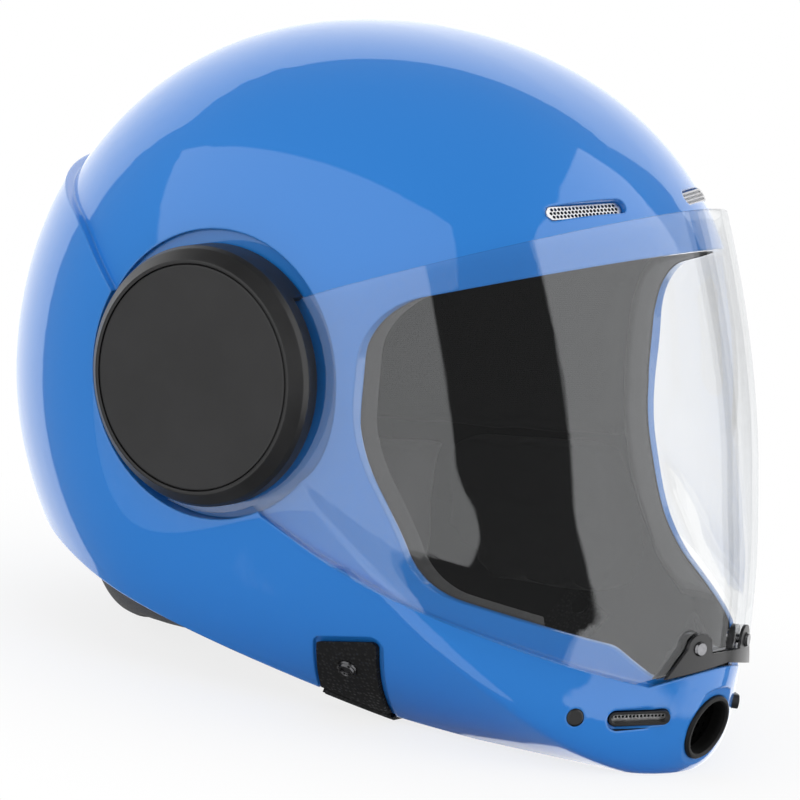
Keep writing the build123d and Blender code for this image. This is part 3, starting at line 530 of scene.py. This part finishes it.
def side_curve(outline, bends, step=2.0):
    """Points along an outline with rounded corners, in the side view."""
    points = [Vector(p) for p in outline]
    path = [points[0]]
    for before, corner, after, radius in zip(points, points[1:], points[2:], bends):
        a, b = (before - corner).normalized(), (after - corner).normalized()
        half = a.angle(b) / 2
        cut = radius / math.tan(half)
        centre = corner + (a + b).normalized() * (radius / math.sin(half))
        first, last = corner + a * cut - centre, corner + b * cut - centre
        sweep = first.angle_signed(last)
        count = max(3, int(abs(sweep) * radius / step))
        for i in range(count + 1):
            turn = Matrix.Rotation(-sweep * i / count, 2)
            path.append(centre + turn @ first)
    path.append(points[-1])
    dense = []
    for a, b in zip(path, path[1:]):
        count = max(1, int((b - a).length / step))
        dense += [a.lerp(b, i / count) for i in range(count)]
    return dense + [path[-1]]


def band_half():
    """Sections of the band from the brow's middle round the left side to its lower end.

    Each lies on the shell's inner wall, where a ray at each of the band's two sides meets it.
    """
    shell = nodes["outer_shell"].data
    wall = BVHTree.FromPolygons([v.co for v in shell.vertices], [tuple(p.vertices) for p in shell.polygons])
    curve = side_curve(PORT_OUTLINE, PORT_BENDS)
    corner, heel = (min(range(len(curve)), key=lambda i: (curve[i] - Vector(PORT_OUTLINE[k])).length)
                    for k in (1, 3))
    top = next(i for i in range(corner, -1, -1) if curve[i].x < BAND_FAN_TOP)
    low = next(i for i in range(heel, len(curve)) if curve[i].x < BAND_FAN_LOW)
    # Rays run sideways from the middle plane; ahead of these two points they fan out to the front
    quarter = [math.radians(90.0 * i / BAND_FAN) for i in range(BAND_FAN + 1)]
    stations = [(curve[top], (curve[top + 1] - curve[top]).normalized(), -1.0, a) for a in quarter]
    stations += [(curve[i], (curve[i + 1] - curve[i - 1]).normalized(), 0.0, math.pi / 2)
                 for i in range(top + 1, low)]
    stations += [(curve[low], (curve[low] - curve[low - 1]).normalized(), 1.0, a)
                 for a in reversed(quarter)]
    across = turned((1, 0, 0))
    sections = []
    for at, tangent, way, angle in stations:
        ahead = turned((0, tangent.x, tangent.y))
        ray = across * math.sin(angle) + ahead * (way * math.cos(angle))
        outward = Vector((-tangent.y, tangent.x))
        edges = []
        for side in BAND_SIDES:
            start = at + outward * side
            hit, normal = wall.ray_cast(placed(0, start.x * MM, start.y * MM), ray)[:2]
            inner = across * normal.dot(across) + ahead * normal.dot(ahead)
            inner = inner.normalized() * (-1.0 if inner.dot(ray) > 0 else 1.0)
            edges.append((hit, inner))
        if way > 0 and edges[0][0].y < placed(0, BAND_END * MM, 0).y:
            break
        section = []
        for share, depth in BAND_PROFILE:
            hit = edges[0][0].lerp(edges[1][0], share)
            section.append(hit + edges[0][1].lerp(edges[1][1], share) * (depth * MM))
        sections.append(section)
    return sections


def make_port_band():
    """Cut front face of the lining: a grey foam band flush with the port's edge, inside the shell."""
    half = band_half()
    whole = [[Vector((-p.x, p.y, p.z)) for p in s] for s in reversed(half[1:])] + half
    bm = bmesh.new()
    rings = [[bm.verts.new(p) for p in section] for section in whole]
    for a, b in zip(rings, rings[1:]):
        for i in range(len(a)):
            j = (i + 1) % len(a)
            bm.faces.new((a[i], a[j], b[j], b[i]))
    bm.faces.new(rings[0])
    bm.faces.new(rings[-1])
    bmesh.ops.recalc_face_normals(bm, faces=bm.faces)
    data = bpy.data.meshes.new("port_band")
    bm.to_mesh(data)
    bm.free()
    obj = bpy.data.objects.new("port_band", data)
    scene.collection.objects.link(obj)
    for p in data.polygons:
        p.use_smooth = len(p.vertices) == 4
    dress(obj, NODE_MATERIALS["face_trim"])
    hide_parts("face_trim")
    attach(obj, "helmet")


make_port_band()


# Camera, light and floor

# The photograph's camera in the wearing position: degrees round from the front and up, metres away, and
# how far right and up of the pivot it aims; then the width of its view at the helmet, and its sensor in mm
CAMERA_TURN, CAMERA_LIFT, CAMERA_AWAY = -56.0, 6.0, 3.0
CAMERA_AIM = (0.0078, -0.01681)
VIEW_WIDTH = 0.8 / 2.95
SENSOR = 36.0


def rest_camera():
    """Makes that camera, tipped with the helmet, and returns its right, up and back directions."""
    turn, lift = math.radians(CAMERA_TURN), math.radians(CAMERA_LIFT)
    right = Vector((math.cos(turn), math.sin(turn), 0.0))
    up = Vector((-math.sin(turn) * math.sin(lift), math.cos(turn) * math.sin(lift), math.cos(lift)))
    back = right.cross(up)
    place = right * CAMERA_AIM[0] + up * CAMERA_AIM[1] + back * CAMERA_AWAY
    cam_data = bpy.data.cameras.new("camera")
    cam_data.sensor_width = SENSOR
    cam_data.lens = SENSOR * CAMERA_AWAY / VIEW_WIDTH
    cam_data.clip_start, cam_data.clip_end = 0.1, 40.0
    cam = bpy.data.objects.new("camera", cam_data)
    scene.collection.objects.link(cam)
    right, up, back = turned(right), turned(up), turned(back)
    basis = Matrix((right, up, back)).transposed().to_4x4()
    cam.matrix_world = Matrix.Translation(placed(*place)) @ basis
    scene.camera = cam
    return right, up, back


RIGHT, UP, BACK = rest_camera()

# Softboxes: name, direction as shares of the camera's right, up and back, then distance, width and height
# in metres, and radiance
LAMPS = [
    ("softbox_left", (-1.0, 0.45, 0.45), 1.6, 1.3, 1.5, 0.42),
    ("softbox_right", (1.0, 0.35, 0.5), 1.6, 1.0, 1.5, 0.36),
    ("softbox_top", (0.0, 1.0, 0.1), 1.7, 1.4, 1.2, 0.34),
]
LAMP_TARGET = Vector((0.0, 0.0, 0.11))


def softbox(name, toward, distance, width, height, radiance):
    """Rectangular lamp that gloss doesn't see, at a radiance where 1 is white."""
    direction = (RIGHT * toward[0] + UP * toward[1] + BACK * toward[2]).normalized()
    data = bpy.data.lights.new(name, "AREA")
    data.shape = "RECTANGLE"
    data.size, data.size_y = width, height
    data.energy = radiance * math.pi * width * height
    lamp = bpy.data.objects.new(name, data)
    scene.collection.objects.link(lamp)
    turn = (-direction).to_track_quat("-Z", "Y").to_matrix().to_4x4()
    lamp.matrix_world = Matrix.Translation(LAMP_TARGET + direction * distance) @ turn
    lamp.visible_glossy = False


for lamp in LAMPS:
    softbox(*lamp)

# What gloss sees of the studio, apart from a dark room: bright panels, each a turn in degrees off the
# camera, a radiance, and edges (a, b, c). A panel is lit where a * u + b * v < c for all of its edges, with
# u to the right and v up, both as slopes off its middle direction. In order: the tall panel on the left
# above and below its bend, the panel on the right, and the white wall behind the helmet.
PANELS = [
    (-50.0, 1.5, [(-1.0, -0.65, 0.48), (1.0, 0.0, 1.22), (0.0, -1.0, 0.75), (0.09, 1.0, 1.37)]),
    (-50.0, 1.5, [(-1.0, 0.56, -0.05), (1.0, 0.0, 1.22), (0.0, -1.0, 1.9), (0.0, 1.0, -0.6)]),
    (83.0, 2.0, [(-1.0, 0.0, 1.16), (1.0, 0.0, 0.66), (0.0, -1.0, 0.62), (-0.28, 1.0, 1.345)]),
    (180.0, 1.4, [(1.0, -0.25, 1.25), (-1.0, 0.0, 1.1), (-0.2, 1.0, 1.62), (0.0, -1.0, 0.6)]),
]
# Half the soft width of a panel's edge, and where a panel fades in ahead of the plane through the helmet
PANEL_SOFT = 0.02
PANEL_AHEAD = (0.03, 0.06)
LEAST_AHEAD = 0.02
# The dark room's level in gloss, and the studio's plain light on the object
ROOM_GLOSS = 0.15
STUDIO_LIGHT = 0.85


def make_world():
    """White studio; in gloss it shows as the panels in a dark room."""
    world = bpy.data.worlds.new("studio")
    scene.world = world
    world.use_nodes = True
    tree = world.node_tree
    back = tree.nodes["Background"]
    direction = tree.nodes.new("ShaderNodeTexCoord").outputs["Generated"]

    def along(axis):
        """How far the seen direction goes along this axis."""
        return add_node(tree, "ShaderNodeVectorMath", {0: direction, 1: tuple(axis)},
                        operation="DOT_PRODUCT").outputs["Value"]

    def panel(turn, radiance, edges):
        """Radiance inside the panel's edges, 0 outside."""
        turn = math.radians(turn)
        ahead = along(RIGHT * math.sin(turn) + BACK * math.cos(turn))
        aside = along(RIGHT * math.cos(turn) - BACK * math.sin(turn))
        reach = calc(tree, "MAXIMUM", ahead, LEAST_AHEAD)
        u = calc(tree, "DIVIDE", aside, reach)
        v = calc(tree, "DIVIDE", along(UP), reach)
        mask = calc(tree, "MULTIPLY", ramp(tree, ahead, *PANEL_AHEAD), radiance)
        for a, b, c in edges:
            line = calc(tree, "ADD", calc(tree, "MULTIPLY", u, a), calc(tree, "MULTIPLY", v, b))
            inside = ramp(tree, line, c - PANEL_SOFT, c + PANEL_SOFT, 1.0, 0.0)
            mask = calc(tree, "MULTIPLY", mask, inside)
        return mask

    gloss = ROOM_GLOSS
    for turn, radiance, edges in PANELS:
        gloss = calc(tree, "MAXIMUM", gloss, panel(turn, radiance, edges))
    path = tree.nodes.new("ShaderNodeLightPath")
    strength = add_node(tree, "ShaderNodeMix",
                        {"Factor": path.outputs["Is Glossy Ray"], "A": STUDIO_LIGHT, "B": gloss})
    clear = calc(tree, "MAXIMUM", path.outputs["Is Camera Ray"], path.outputs["Is Transmission Ray"])
    final = add_node(tree, "ShaderNodeMix", {"Factor": clear, "A": strength.outputs["Result"], "B": 1.0})
    tree.links.new(final.outputs["Result"], back.inputs["Strength"])
    back.inputs["Color"].default_value = (1, 1, 1, 1)


make_world()

# The floor's radius in metres, where its shadow fades out, and its own white under the helmet
FLOOR_RADIUS = 6.0
FLOOR_FADE = (0.10, 0.25)
FLOOR_WHITE = 0.80


def make_floor():
    """White floor that keeps a faint soft shadow and fades into the white studio."""
    bm = bmesh.new()
    bmesh.ops.create_circle(bm, cap_ends=True, cap_tris=False, segments=96, radius=FLOOR_RADIUS)
    data = bpy.data.meshes.new("floor")
    bm.to_mesh(data)
    bm.free()
    obj = bpy.data.objects.new("floor", data)
    scene.collection.objects.link(obj)
    mat, tree, b = new_material("floor_white")
    out = tree.nodes["Material Output"]
    tint = mix_colour(tree, noise_value(tree, 3.0), (0.95, 0.95, 0.95), (0.97, 0.97, 0.97))
    tree.links.new(tint, b.inputs["Base Color"])
    b.inputs["Roughness"].default_value = 0.9
    b.inputs["Specular IOR Level"].default_value = 0.0
    parts = add_node(tree, "ShaderNodeSeparateXYZ", {0: position(tree)})
    flat = add_node(tree, "ShaderNodeCombineXYZ", {0: parts.outputs["X"], 1: parts.outputs["Y"]})
    away = add_node(tree, "ShaderNodeVectorMath", {0: flat.outputs[0]}, operation="LENGTH")
    fade = ramp(tree, away.outputs["Value"], *FLOOR_FADE, FLOOR_WHITE, 1.0, smooth=True)
    glow = add_node(tree, "ShaderNodeEmission", {"Color": (1, 1, 1, 1), "Strength": 1.0})
    path = tree.nodes.new("ShaderNodeLightPath")
    seen = calc(tree, "MAXIMUM", path.outputs["Is Camera Ray"], path.outputs["Is Transmission Ray"])
    share = calc(tree, "MULTIPLY", seen, fade)
    mix = add_node(tree, "ShaderNodeMixShader", {0: share, 1: b.outputs[0], 2: glow.outputs[0]})
    tree.links.new(mix.outputs[0], out.inputs["Surface"])
    dress(obj, mat)
    obj.visible_glossy = False


make_floor()

scene.view_settings.view_transform = "Standard"
